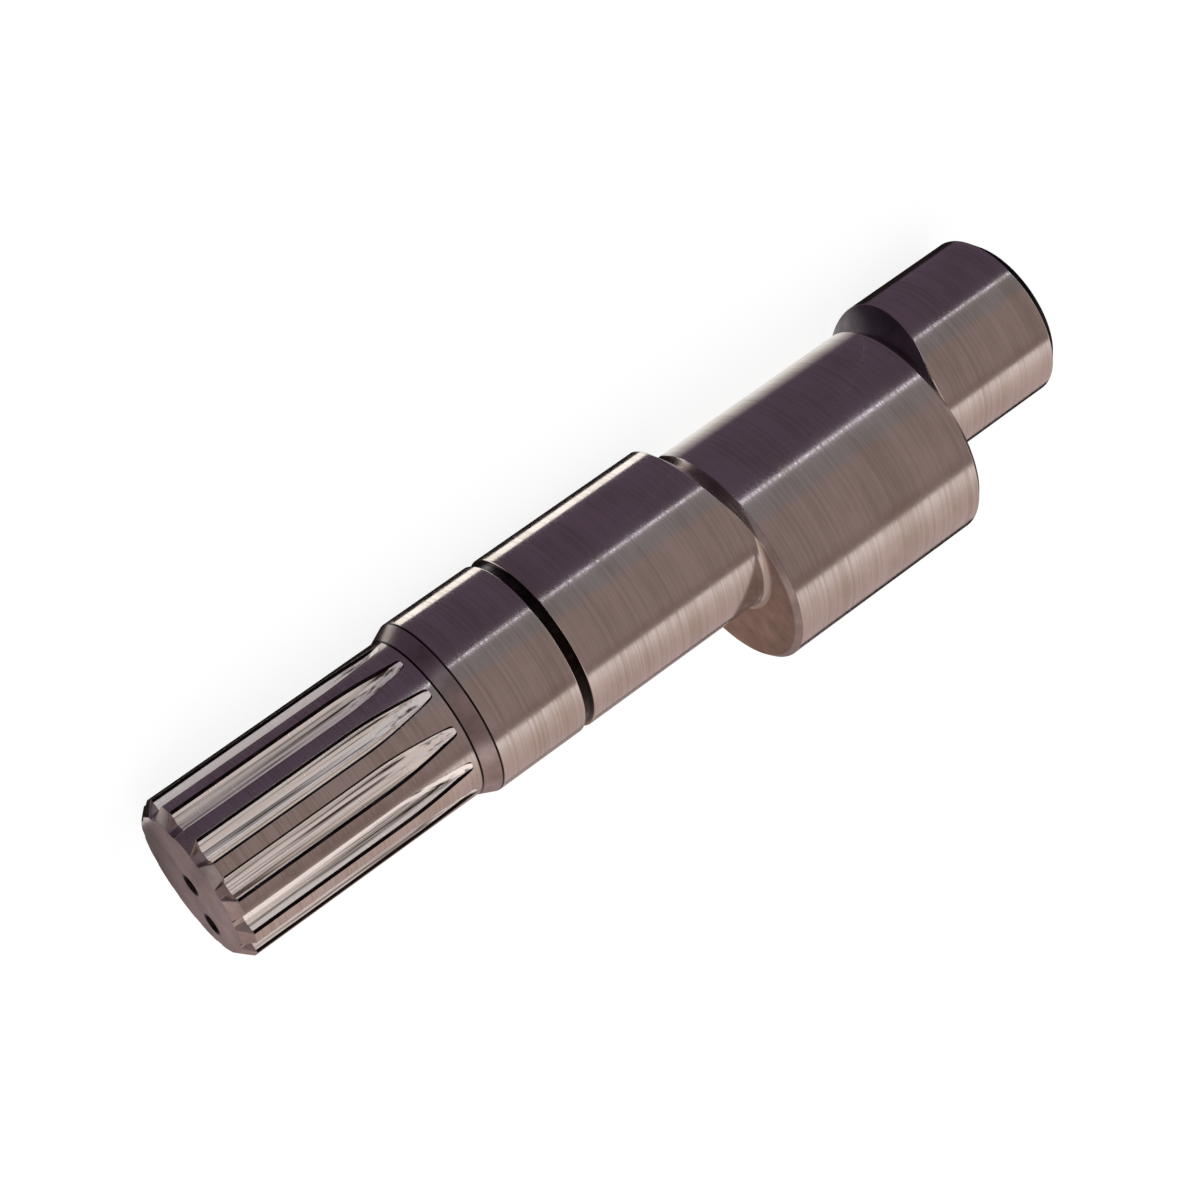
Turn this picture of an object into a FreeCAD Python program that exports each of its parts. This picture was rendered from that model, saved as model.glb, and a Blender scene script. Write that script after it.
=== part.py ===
import FreeCAD, Part
import math
import os
import PartDesign
import Sketcher
from FreeCAD import Placement, Rotation, Vector

# Eccentric pump shaft, one piece of ground steel, in millimetres.
# The main axis is the X axis, and stations along it run from the face of the splined end.
# The shaft lies as it comes to rest, with its journal and the side of its eccentric on the
# ground, which is half the journal's diameter below the main axis.

DIMENSIONS = {
    # Involute spline of the driven end
    "spline_teeth": 13,
    "spline_od": 21.8,
    "spline_root": 18.6,
    "spline_pitch": 20.64,
    "spline_pressure": 30,
    "spline_phase": 7,
    "spline_full": 23.0,
    "spline_chamfer": 1.4,
    "root_round": 0.35,
    "hob_radius": 35,
    # Shoulder between the splined end and the journal
    "shoulder_foot": 34.3,
    "shoulder_end": 36.7,
    "shoulder_round": 1.0,
    # Journal with its retaining ring groove
    "journal_dia": 24,
    "ring_station": 49.9,
    "ring_width": 1.3,
    "ring_depth": 0.55,
    "ring_break": 0.15,
    # Eccentric, ground about its own axis, with relief cones beside it
    "lobe_dia": 29.6,
    "throw": 5.9,
    "lobe_start": 77.9,
    "lobe_end": 108.9,
    "lobe_chamfer": 0.7,
    "foot_round": 0.8,
    "relief_angle": 52,
    # End journal
    "pin_dia": 22.5,
    "pin_chamfer": 1.45,
    "total_length": 128.4,
    # Centre holes, on the main axis and on the axis of the eccentric
    "centre_mouth": 2.8,
    "centre_drill": 1.25,
    "centre_depth": 3.2,
    "centre_cone": 60,
}

# How far a cutting outline reaches past the surface that it cuts
CLEAR = 0.6
# Points nearer than this are the same
SAME_PLACE = 0.001
# Extra angle by which the hob's path runs on past the outside of the spline
HOB_OVERRUN = 1.0
FULL_TURN = 360.0
# Way round from the eccentric to the first space: half a tooth and its space, less the phase
SPACE_ANGLE = "( 180 / spline_teeth - spline_phase ) * 1 deg"

# Numbers by which a sketch knows an edge's ends and centre, and its own two axes
START, END, CENTRE = range(1, 4)
H_AXIS, V_AXIS = range(-1, -3, -1)

doc = FreeCAD.newDocument("eccentric_pump_shaft")
sheet = doc.addObject("Spreadsheet::Sheet", "sizes")
for row, (name, value) in enumerate(DIMENSIONS.items(), start=1):
    sheet.set(f"A{row}", name)
    sheet.set(f"B{row}", str(value))
    sheet.setAlias(f"B{row}", name)
doc.recompute()


def bound(expression):
    """Expression with the sheet's name put before each driving dimension."""
    words = expression.replace("(", "( ").replace(")", " )").split()
    return " ".join(f"sizes.{word}" if word in DIMENSIONS else word for word in words)


def evaluate(expression):
    """Present value of an expression, with angles in degrees."""
    return float(FreeCAD.Units.Quantity(sheet.evalExpression(bound(expression))).Value)


def origin_item(body, role):
    """Origin plane or axis of a body, found by its role."""
    return next(item for item in body.Origin.OriginFeatures if item.Role == role)


class Outline:
    """Closed sketch outline whose corners are bound to the driving dimensions."""

    def __init__(self, body, name, plane):
        self.sketch = body.newObject("Sketcher::SketchObject", name)
        self.sketch.AttachmentSupport = [(origin_item(body, plane), "")]
        self.sketch.MapMode = "FlatFace"
        self.corner = None
        self.first = None
        self.last = None

    def place(self, path, expression):
        """Bind one value of the sketch's offset from its plane."""
        self.sketch.setExpression(f"AttachmentOffset.{path}", bound(expression))

    def bind(self, kind, *arguments):
        """Add a dimension whose value is the expression given last."""
        *elements, expression = arguments
        constraint = Sketcher.Constraint(kind, *elements, evaluate(expression))
        number = self.sketch.addConstraint(constraint)
        self.sketch.setExpression(f"Constraints[{number}]", bound(expression))

    def tie(self, kind, *elements):
        """Add a constraint that has no value."""
        self.sketch.addConstraint(Sketcher.Constraint(kind, *elements))

    def fix(self, edge, end, x=None, y=None):
        """Bind a point's coordinates, each measured from the origin to its own side."""
        for kind, axis, value in (("DistanceX", V_AXIS, x), ("DistanceY", H_AXIS, y)):
            if value is None:
                continue
            if evaluate(value) == 0:
                self.tie("PointOnObject", edge, end, axis)
            elif evaluate(value) > 0:
                self.bind(kind, H_AXIS, START, edge, end, value)
            else:
                self.bind(kind, edge, end, H_AXIS, START, f"0 - ( {value} )")

    def join(self, edge):
        """Join a new edge to the end of the one before it."""
        if self.last is None:
            self.first = edge
        else:
            self.tie("Coincident", self.last, END, edge, START)
        self.last = edge

    def start(self, x, y):
        """First corner of the outline."""
        self.corner = (x, y)
        return self

    def line(self, x, y):
        """Straight run to the corner (x, y)."""
        here = Vector(*[evaluate(value) for value in self.corner], 0)
        there = Vector(evaluate(x), evaluate(y), 0)
        edge = self.sketch.addGeometry(Part.LineSegment(here, there), False)
        self.join(edge)
        self.fix(edge, START, *self.corner)
        self.corner = (x, y)
        return self

    def arc(self, x, y, centre_x, centre_y):
        """Anticlockwise round to the corner (x, y) about a centre."""
        here = Vector(*[evaluate(value) for value in self.corner], 0)
        there = Vector(evaluate(x), evaluate(y), 0)
        centre = Vector(evaluate(centre_x), evaluate(centre_y), 0)
        edge = self.sketch.addGeometry(arc_about(centre, here, there), False)
        self.join(edge)
        self.fix(edge, START, *self.corner)
        self.fix(edge, CENTRE, x=centre_x)
        self.corner = (x, y)
        return self

    def close(self):
        """Last straight run, back to the first corner."""
        first = self.sketch.Geometry[self.first].StartPoint
        here = Vector(*[evaluate(value) for value in self.corner], 0)
        edge = self.sketch.addGeometry(Part.LineSegment(here, first), False)
        self.join(edge)
        self.fix(edge, START, *self.corner)
        self.tie("Coincident", edge, END, self.first, START)
        return self.sketch


def arc_about(centre, start, end):
    """Anticlockwise arc about a centre, from the direction of one point to that of another."""
    spoke = start - centre
    last = end - centre
    circle = Part.Circle(centre, Vector(0, 0, 1), spoke.Length)
    first_angle = math.atan2(spoke.y, spoke.x)
    last_angle = math.atan2(last.y, last.x)
    if last_angle < first_angle:
        last_angle += 2 * math.pi
    return Part.ArcOfCircle(circle, first_angle, last_angle)


def turn(body, kind, name, outline):
    """Revolve an outline all the way round its sketch's own X axis."""
    feature = body.newObject(f"PartDesign::{kind}", name)
    feature.Profile = outline
    feature.ReferenceAxis = (outline, ["H_Axis"])
    feature.Angle = FULL_TURN
    outline.Visibility = False
    doc.recompute()
    return feature


def turned_outline(body, name, on_lobe_axis=False):
    """Outline in the plane of both axes, measured from the main axis or from the lobe's."""
    outline = Outline(body, name, "XZ_Plane")
    if on_lobe_axis:
        outline.place("Base.y", "throw")
    return outline


def add_drive_end(body):
    """Blank of the splined end, the shoulder and the journal."""
    outline = turned_outline(body, "drive_end_outline")
    outline.start("0", "0")
    outline.line("0", "spline_od / 2 - spline_chamfer")
    outline.line("spline_chamfer", "spline_od / 2")
    outline.line("shoulder_foot", "spline_od / 2")
    outline.line("shoulder_end", "journal_dia / 2")
    outline.line("lobe_start - foot_round", "journal_dia / 2")
    outline.arc("lobe_start", "journal_dia / 2 + foot_round",
                "lobe_start - foot_round", "journal_dia / 2 + foot_round")
    outline.line("lobe_start + lobe_chamfer", "journal_dia / 2 + foot_round")
    outline.line("lobe_start + lobe_chamfer", "0")
    turn(body, "Revolution", "drive_end", outline.close())


def add_shoulder_round(body):
    """Round in the corner where the shoulder rises from the splined end."""
    foot = evaluate("shoulder_foot")
    blank = body.Tip
    edges = [f"Edge{number}" for number, edge in enumerate(blank.Shape.Edges, start=1)
             if isinstance(edge.Curve, Part.Circle)
             and edge.CenterOfMass.isEqual(Vector(foot, 0, 0), SAME_PLACE)]
    fillet = body.newObject("PartDesign::Fillet", "shoulder_corner")
    fillet.Base = (blank, edges)
    fillet.setExpression("Radius", bound("shoulder_round"))
    doc.recompute()


def add_ring_groove(body):
    """Square groove for the retaining ring, with its two outer edges broken."""
    lip = f"journal_dia / 2 + {CLEAR}"
    side = "ring_station - ring_width / 2"
    other = "ring_station + ring_width / 2"
    outline = turned_outline(body, "ring_groove_outline")
    outline.start(f"{side} - ring_break - {CLEAR}", lip)
    outline.line(side, "journal_dia / 2 - ring_break")
    outline.line(side, "journal_dia / 2 - ring_depth")
    outline.line(other, "journal_dia / 2 - ring_depth")
    outline.line(other, "journal_dia / 2 - ring_break")
    outline.line(f"{other} + ring_break + {CLEAR}", lip)
    turn(body, "Groove", "ring_groove", outline.close())


def add_lobe(body):
    """Eccentric, turned about its own axis."""
    outline = turned_outline(body, "lobe_outline", on_lobe_axis=True)
    outline.start("lobe_start", "0")
    outline.line("lobe_start", "lobe_dia / 2 - lobe_chamfer")
    outline.line("lobe_start + lobe_chamfer", "lobe_dia / 2")
    outline.line("lobe_end - lobe_chamfer", "lobe_dia / 2")
    outline.line("lobe_end", "lobe_dia / 2 - lobe_chamfer")
    outline.line("lobe_end", "0")
    turn(body, "Revolution", "lobe", outline.close())


def add_end_journal(body):
    """End journal beyond the eccentric, with its chamfered end."""
    outline = turned_outline(body, "end_journal_outline")
    outline.start("lobe_end - lobe_chamfer", "0")
    outline.line("lobe_end - lobe_chamfer", "pin_dia / 2 + foot_round")
    outline.line("lobe_end", "pin_dia / 2 + foot_round")
    outline.arc("lobe_end + foot_round", "pin_dia / 2",
                "lobe_end + foot_round", "pin_dia / 2 + foot_round")
    outline.line("total_length - pin_chamfer", "pin_dia / 2")
    outline.line("total_length", "pin_dia / 2 - pin_chamfer")
    outline.line("total_length", "0")
    turn(body, "Revolution", "end_journal", outline.close())


def add_relief(body, name, neighbour, foot, side):
    """Cone about the lobe's axis that clears the grinding wheel's way past a journal.

    It carries on from the lobe's chamfer, so that nothing of the journal or its foot
    stands out past the lobe's rim. neighbour is the journal's diameter, foot the station
    where the chamfer begins, and side the sign along X on which the journal lies.
    """
    reach = f"( ( {neighbour} - lobe_dia ) / 2 + throw + foot_round + {CLEAR} )"
    face = f"{foot} {side} lobe_chamfer"
    rim = f"{face} {side} ( {reach} + lobe_chamfer ) / tan( relief_angle * 1 deg )"
    outline = turned_outline(body, f"{name}_outline", on_lobe_axis=True)
    outline.start(foot, "lobe_dia / 2")
    outline.line(face, "lobe_dia / 2 - lobe_chamfer")
    outline.line(rim, f"lobe_dia / 2 + {reach}")
    outline.line(foot, f"lobe_dia / 2 + {reach}")
    turn(body, "Groove", name, outline.close())


def add_centre_hole(body, name, face, inward, on_lobe_axis):
    """Centre hole in an end face: a cone for the lathe's centre, then a drilled hole."""
    cone = "( centre_mouth - centre_drill ) / 2 / tan( centre_cone / 2 * 1 deg )"
    tip = "centre_drill / 2 / tan( centre_cone * 1 deg )"
    outline = turned_outline(body, f"{name}_outline", on_lobe_axis)
    outline.start(face, "0")
    outline.line(face, "centre_mouth / 2")
    outline.line(f"{face} {inward} {cone}", "centre_drill / 2")
    outline.line(f"{face} {inward} ( centre_depth - {tip} )", "centre_drill / 2")
    outline.line(f"{face} {inward} centre_depth", "0")
    turn(body, "Groove", name, outline.close())


def space_outline(body, name, drop):
    """Cross-section of one space between teeth, open past the outside of the spline.

    Each flank is the arc that follows the involute at the pitch circle: its centre is
    where the line of action touches the base circle. drop is how far the sketch's
    origin lies above the shaft's axis.
    """
    half_space = "90 / spline_teeth * 1 deg"
    lean = f"( {half_space} + spline_pressure * 1 deg )"
    base = "( spline_pitch / 2 * cos( spline_pressure * 1 deg ) )"
    flank = "spline_pitch / 2 * sin( spline_pressure * 1 deg )"
    centre_x = f"{base} * sin( {lean} )"
    centre_y = f"{base} * cos( {lean} ) - {drop}"
    floor_y = f"spline_root / 2 - {drop}"
    top_y = f"spline_od / 2 + {CLEAR} - {drop}"
    outline = Outline(body, name, "YZ_Plane")
    sketch = outline.sketch

    # Points of the right-hand side, worked out only to draw the sketch near its solution
    middle = Vector(evaluate(centre_x), evaluate(centre_y), 0)
    radius = evaluate(flank)
    round_radius = evaluate("root_round")
    floor = evaluate(floor_y)
    top = evaluate(top_y)
    corner_y = floor + round_radius
    offset = radius + round_radius
    corner_x = middle.x - math.sqrt(offset ** 2 - (corner_y - middle.y) ** 2)
    corner = Vector(corner_x, corner_y, 0)
    touch = middle + (corner - middle) * (radius / offset)
    lip_x = middle.x - math.sqrt(radius ** 2 - (top - middle.y) ** 2)
    lip = Vector(lip_x, top, 0)
    bottom = Vector(corner_x, floor, 0)

    def mirrored(point):
        return Vector(-point.x, point.y, 0)

    right_flank = sketch.addGeometry(arc_about(middle, lip, touch), False)
    left_flank = sketch.addGeometry(arc_about(mirrored(middle), mirrored(touch), mirrored(lip)), False)
    right_round = sketch.addGeometry(arc_about(corner, bottom, touch), False)
    left_round = sketch.addGeometry(arc_about(mirrored(corner), mirrored(touch), mirrored(bottom)), False)
    root = sketch.addGeometry(Part.LineSegment(mirrored(bottom), bottom), False)
    mouth = sketch.addGeometry(Part.LineSegment(lip, mirrored(lip)), False)

    outline.tie("Tangent", root, END, right_round, START)
    outline.tie("Tangent", right_round, END, right_flank, END)
    outline.tie("Tangent", root, START, left_round, END)
    outline.tie("Tangent", left_round, START, left_flank, START)
    outline.tie("Coincident", mouth, START, right_flank, START)
    outline.tie("Coincident", mouth, END, left_flank, END)
    outline.tie("Horizontal", root)
    outline.tie("Horizontal", mouth)
    outline.tie("Equal", left_flank, right_flank)
    outline.tie("Equal", left_round, right_round)
    outline.tie("Symmetric", left_flank, CENTRE, right_flank, CENTRE, V_AXIS)
    outline.bind("Radius", right_flank, flank)
    outline.bind("Radius", right_round, "root_round")
    outline.fix(right_flank, CENTRE, centre_x, centre_y)
    outline.fix(root, START, y=floor_y)
    outline.fix(mouth, START, y=top_y)
    outline.place("Rotation.Angle", SPACE_ANGLE)
    return outline


def add_spline(body):
    """Spaces of the spline, hobbed along the end and run out on the hob's own radius."""
    straight = space_outline(body, "space_outline", "0")
    space = body.newObject("PartDesign::Pocket", "space")
    space.Profile = straight.sketch
    space.Reversed = True
    space.setExpression("Length", bound("spline_full"))
    doc.recompute()

    hob_height = "( spline_root / 2 + hob_radius )"
    section = space_outline(body, "run_out_outline", hob_height)
    section.place("Base.x", f"0 - {hob_height} * sin( {SPACE_ANGLE} )")
    section.place("Base.y", f"{hob_height} * cos( {SPACE_ANGLE} )")
    section.place("Base.z", "spline_full")
    leave = "acos( 1 - ( spline_od - spline_root ) / 2 / hob_radius )"
    run_out = body.newObject("PartDesign::Groove", "run_out")
    run_out.Profile = section.sketch
    run_out.ReferenceAxis = (section.sketch, ["H_Axis"])
    run_out.Reversed = True
    run_out.setExpression("Angle", bound(f"{leave} + {HOB_OVERRUN} deg"))
    doc.recompute()

    teeth = body.newObject("PartDesign::PolarPattern", "teeth")
    teeth.Originals = [space, run_out]
    teeth.Axis = (origin_item(body, "X_Axis"), [""])
    teeth.Angle = FULL_TURN
    teeth.setExpression("Occurrences", bound("spline_teeth"))
    body.Tip = teeth
    doc.recompute()


def make_pump_shaft():
    """The whole shaft, modelled with its eccentric pointing along Z and then laid down."""
    body = doc.addObject("PartDesign::Body", "pump_shaft")
    body.Label = "pump_shaft"
    add_drive_end(body)
    add_shoulder_round(body)
    add_ring_groove(body)
    add_lobe(body)
    add_end_journal(body)
    add_relief(body, "journal_relief", "journal_dia", "lobe_start + lobe_chamfer", "-")
    add_relief(body, "pin_relief", "pin_dia", "lobe_end - lobe_chamfer", "+")
    for face, inward, end in (("0", "+", "drive"), ("total_length", "-", "pin")):
        add_centre_hole(body, f"{end}_main_centre", face, inward, on_lobe_axis=False)
        add_centre_hole(body, f"{end}_lobe_centre", face, inward, on_lobe_axis=True)
    add_spline(body)

    # The journal and the eccentric both touch the ground when the eccentric leans this far
    lean = "90 deg - asin( ( lobe_dia - journal_dia ) / ( 2 * throw ) )"
    body.Placement = Placement(Vector(0, 0, 0), Rotation(Vector(1, 0, 0), evaluate(lean)))
    body.setExpression("Placement.Rotation.Angle", bound(lean))
    doc.recompute()
    return body


def check(body):
    """Stop if any object failed or if the body isn't one sound solid."""
    for item in doc.Objects:
        if "Invalid" in item.State or "Error" in item.State:
            raise RuntimeError(f"{item.Name} did not build: {item.State}")
    shape = body.Shape
    if shape.isNull() or not shape.isValid() or len(shape.Solids) != 1:
        raise RuntimeError(f"{body.Label} is not one sound solid")


shaft = make_pump_shaft()
check(shaft)
os.makedirs("parts", exist_ok=True)
shaft.Shape.exportStep(f"parts/{shaft.Label}.step")
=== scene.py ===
import logging
import math
from dataclasses import dataclass, field
from enum import Enum
from typing import Any, NamedTuple

import bmesh
import bpy
import numpy as np
from mathutils import Matrix, Vector


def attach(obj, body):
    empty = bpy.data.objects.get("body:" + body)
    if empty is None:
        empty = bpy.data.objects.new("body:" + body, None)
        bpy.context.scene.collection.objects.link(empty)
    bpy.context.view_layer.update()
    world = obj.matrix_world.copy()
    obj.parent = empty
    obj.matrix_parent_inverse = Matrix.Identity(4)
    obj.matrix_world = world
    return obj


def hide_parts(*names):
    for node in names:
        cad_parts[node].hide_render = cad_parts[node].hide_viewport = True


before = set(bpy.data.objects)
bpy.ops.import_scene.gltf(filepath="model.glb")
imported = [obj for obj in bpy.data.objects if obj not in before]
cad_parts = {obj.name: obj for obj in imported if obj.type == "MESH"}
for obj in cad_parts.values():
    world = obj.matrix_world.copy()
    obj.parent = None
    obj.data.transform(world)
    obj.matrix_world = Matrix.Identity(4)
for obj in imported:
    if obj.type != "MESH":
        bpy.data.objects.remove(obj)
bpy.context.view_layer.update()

MM = 0.001
NODE = "pump_shaft"
BODY = "root"
SAME_POINT = MM / 2000
SAME_PLANE = MM / 1000
WHITE = "#ffffff"
Array = np.ndarray
Pair = tuple[float, float]
Triple = tuple[float, float, float]
Tree = bpy.types.NodeTree
Socket = bpy.types.NodeSocket
log = logging.getLogger(NODE)


class Finish(Enum):
    """Finishes of the shaft, in the order of the mesh's material slots."""

    GROUND = 0
    TURNED = 1
    HOBBED = 2
    # Near black: painted shade in corners, grooves, lips and holes, and the end chamfer's dark colour
    OILED = 3
    FACED = 4
    RELIEVED = 5


class Corner(NamedTuple):
    """Point of a path along the shaft, with the finish of the run that follows it."""

    station: float
    radius: float
    finish: Finish = Finish.GROUND
    sharp: bool = True


def linear(colour: str) -> tuple[float, float, float, float]:
    """Turn an sRGB hex colour into the linear colour that a shader takes.

    Args:
        colour: Six hex digits after a hash sign.

    Returns:
        Red, green, blue and an alpha of one.
    """
    channels = [int(colour[i:i + 2], 16) / 255 for i in (1, 3, 5)]
    curve = [c / 12.92 if c <= 0.04045 else ((c + 0.055) / 1.055) ** 2.4 for c in channels]
    return (*curve, 1.0)


def add_node(tree: Tree, kind: str, settings: dict[str, Any] | None = None,
             links: dict[str | int, Any] | None = None) -> bpy.types.Node:
    """Add a node with its settings, socket values and incoming links.

    Args:
        tree: Node tree that gets the node.
        kind: The node's type, such as "ShaderNodeMath".
        settings: Properties of the node by name.
        links: Value or output socket for each input, by the input's name or number.

    Returns:
        The new node.
    """
    node = tree.nodes.new(kind)
    for name, value in (settings or {}).items():
        setattr(node, name, value)
    for name, value in (links or {}).items():
        if isinstance(value, bpy.types.NodeSocket):
            tree.links.new(value, node.inputs[name])
        else:
            node.inputs[name].default_value = value
    return node


def blank_material(name: str) -> bpy.types.Material:
    """Make a material whose node tree holds nothing yet."""
    material = bpy.data.materials.new(name)
    material.use_nodes = True
    material.node_tree.nodes.clear()
    return material


def mapped(tree: Tree, place: Socket, scale: Triple) -> Socket:
    """Stretch the place that a pattern is read at, with a scale for each axis."""
    return add_node(tree, "ShaderNodeMapping", links={"Vector": place, "Scale": scale}).outputs[0]


def noise(tree: Tree, place: Socket, scale: float, detail: float, roughness: float = 0.5) -> Socket:
    """Read fractal noise at a place."""
    return add_node(tree, "ShaderNodeTexNoise", links={
        "Vector": place, "Scale": scale, "Detail": detail, "Roughness": roughness}).outputs[0]


def remap(tree: Tree, value: Socket, span: Pair,
          onto: Pair = (0.0, 1.0)) -> Socket:
    """Carry a value from one span onto another, held at its ends."""
    (low, high), (to_low, to_high) = span, onto
    return add_node(tree, "ShaderNodeMapRange", links={
        "Value": value, "From Min": low, "From Max": high, "To Min": to_low, "To Max": to_high}).outputs[0]


def bumped(tree: Tree, height: Socket, strength: float, depth_mm: float) -> Socket:
    """Turn a relief into the surface's direction."""
    return add_node(tree, "ShaderNodeBump", links={
        "Strength": strength, "Distance": depth_mm * MM, "Height": height}).outputs[0]


def computed(tree: Tree, operation: str, first: Any, second: Any) -> Socket:
    """Compute a value from two others."""
    return add_node(tree, "ShaderNodeMath", {"operation": operation}, {0: first, 1: second}).outputs[0]


def mixed(tree: Tree, share: Socket, first: str, second: str) -> Socket:
    """Mix two colours, with the second one's share."""
    return add_node(tree, "ShaderNodeMix", {"data_type": "RGBA"}, {
        0: share, 6: linear(first), 7: linear(second)}).outputs[2]


def sideways(tree: Tree) -> Socket:
    """Read how far across the shaft a place is, in metres."""
    place = add_node(tree, "ShaderNodeTexCoord").outputs["Object"]
    return add_node(tree, "ShaderNodeSeparateXYZ", links={0: place}).outputs["Y"]


def emit(tree: Tree, colour: Socket, strength: float) -> None:
    """Make a material's surface glow."""
    glow = add_node(tree, "ShaderNodeEmission", links={"Color": colour, "Strength": strength})
    add_node(tree, "ShaderNodeOutputMaterial", links={"Surface": glow.outputs[0]})


@dataclass(frozen=True)
class ShaftSizes:
    """Driving sizes in millimetres, as in the part's source, plus the skin's own edge break."""

    teeth: int = 13
    spline_dia: float = 21.8
    root_dia: float = 18.6
    pitch_dia: float = 20.64
    pressure_deg: float = 30.0
    phase_deg: float = 7.0
    full_depth: float = 23.0
    spline_chamfer: float = 1.4
    root_round: float = 0.35
    hob_radius: float = 35.0
    shoulder_foot: float = 34.3
    shoulder_end: float = 36.7
    shoulder_round: float = 1.0
    journal_dia: float = 24.0
    ring_station: float = 49.9
    ring_width: float = 1.3
    ring_depth: float = 0.55
    ring_break: float = 0.15
    lobe_dia: float = 29.6
    throw: float = 5.9
    lobe_start: float = 77.9
    lobe_end: float = 108.9
    lobe_chamfer: float = 0.7
    foot_round: float = 0.8
    relief_deg: float = 52.0
    pin_dia: float = 22.5
    pin_chamfer: float = 1.45
    length: float = 128.4
    centre_mouth: float = 2.8
    centre_drill: float = 1.25
    centre_depth: float = 3.2
    centre_cone_deg: float = 60.0
    edge_break: float = 0.05

    @property
    def pitch(self) -> float:
        """Angle from one space of the spline to the next."""
        return 2 * math.pi / self.teeth

    @property
    def lean(self) -> float:
        """Angle of the eccentric above the ground, with journal and eccentric both touching it."""
        return math.asin((self.lobe_dia - self.journal_dia) / (2 * self.throw))


@dataclass
class Ring:
    """Closed ring of points round the main axis, and the finish of the band that follows it.

    Stations and radii are in millimetres, and angles run about +X from the eccentric.
    """

    station: Array
    radius: Array
    angle: Array
    finish: Array


@dataclass
class Columns:
    """The rings' shared columns: each pitch has the columns of one space, then those of one land.

    The dark line of painted shade on a space's lip and the broken edge beside it take no more than a share
    of the section, so that they narrow with the run-out.
    """

    sizes: ShaftSizes
    grading: tuple[float, ...] = (0.0, 0.14, 0.24, 0.31, 0.38, 0.46, 0.58, 0.7, 0.84)
    land_columns: int = 8
    lip_line: float = 0.42
    lip_share: float = 0.35
    edge_share: float = 0.08

    @property
    def half_space(self) -> int:
        """Columns on each side of a space's middle."""
        return len(self.grading) + 1

    @property
    def per_pitch(self) -> int:
        """Columns of one space and one land."""
        return 2 * self.half_space + 1 + self.land_columns

    def spread(self, one_pitch: Array, step: float = 0.0) -> Array:
        """Repeat the values of one pitch all the way round.

        Args:
            one_pitch: A value for each column, from a space's first lip to its land's end.
            step: What is added at each further pitch.

        Returns:
            A value for each column of a whole ring.
        """
        return (one_pitch[None, :] + step * np.arange(self.sizes.teeth)[:, None]).ravel()

    def even(self) -> Array:
        """Angles of columns evenly spaced round the shaft."""
        one_pitch = (np.arange(self.per_pitch) - self.half_space) * self.sizes.pitch / self.per_pitch
        return self.spread(one_pitch + math.radians(self.sizes.phase_deg), self.sizes.pitch)

    def plain(self, station: float | Array, radius: float | Array,
              finish: Finish, angle: Array | None = None) -> Ring:
        """Make a ring, with each single value held all the way round.

        Args:
            station: Place along the shaft.
            radius: Distance from the main axis.
            finish: Finish of the band that follows.
            angle: Angle of each column, evenly spaced if none is given.

        Returns:
            The ring.
        """
        angle = self.even() if angle is None else angle
        whole = np.ones(len(angle))
        return Ring(station * whole, radius * whole, angle, np.full(len(angle), finish.value))


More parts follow.
